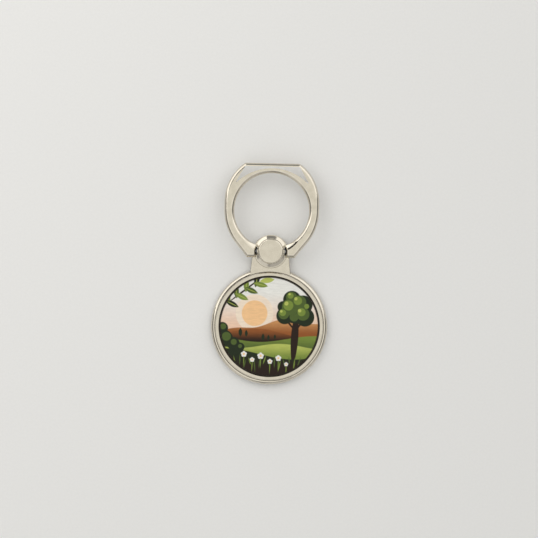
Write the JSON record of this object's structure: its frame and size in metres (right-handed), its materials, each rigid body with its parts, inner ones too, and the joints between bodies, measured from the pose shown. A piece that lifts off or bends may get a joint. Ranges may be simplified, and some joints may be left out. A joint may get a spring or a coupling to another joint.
{
  "type": "phone ring holder",
  "caption": "Ring holder for the back of a phone: a round nickel-plated base with a printed insert, a swivel hub and a folding finger ring with a flat, windowed crown.",
  "frame": {"origin": "centre of the adhesive face, which lies on the phone's back", "axes": "+Z away from the phone, +Y from the base disc to the hub and the ring"},
  "size_m": [0.034, 0.0646, 0.0068],
  "materials": {
    "nickel_plate": "polished",
    "printed_metal": "gloss",
    "adhesive_film": "matte",
    "foam_tape": "matte",
    "spring_steel": "satin",
    "dark_nylon": "satin"
  },
  "bodies": {
    "base": {"base_plate": "nickel_plate", "print_insert": "printed_metal", "insert_tape": "adhesive_film", "adhesive_pad": "foam_tape"},
    "hub": {"swivel_hub": "nickel_plate", "hub_cap": "nickel_plate", "disc_spring": "spring_steel", "retaining_washer": "spring_steel", "hinge_washer_left": "dark_nylon", "hinge_washer_right": "dark_nylon"},
    "ring": {"finger_ring": "nickel_plate", "hinge_pin": "spring_steel"}
  },
  "joints": [
    {"name": "swivel", "type": "hinge", "parent": "base", "child": "hub", "pos_m": [0, 0.02195, 0.00479], "axis": [0, 0, 1], "continuous": true},
    {"name": "fold", "type": "hinge", "parent": "hub", "child": "ring", "pos_m": [0, 0.02195, 0.00479], "axis": [1, 0, 0], "range_deg": [0, 180]}
  ]
}
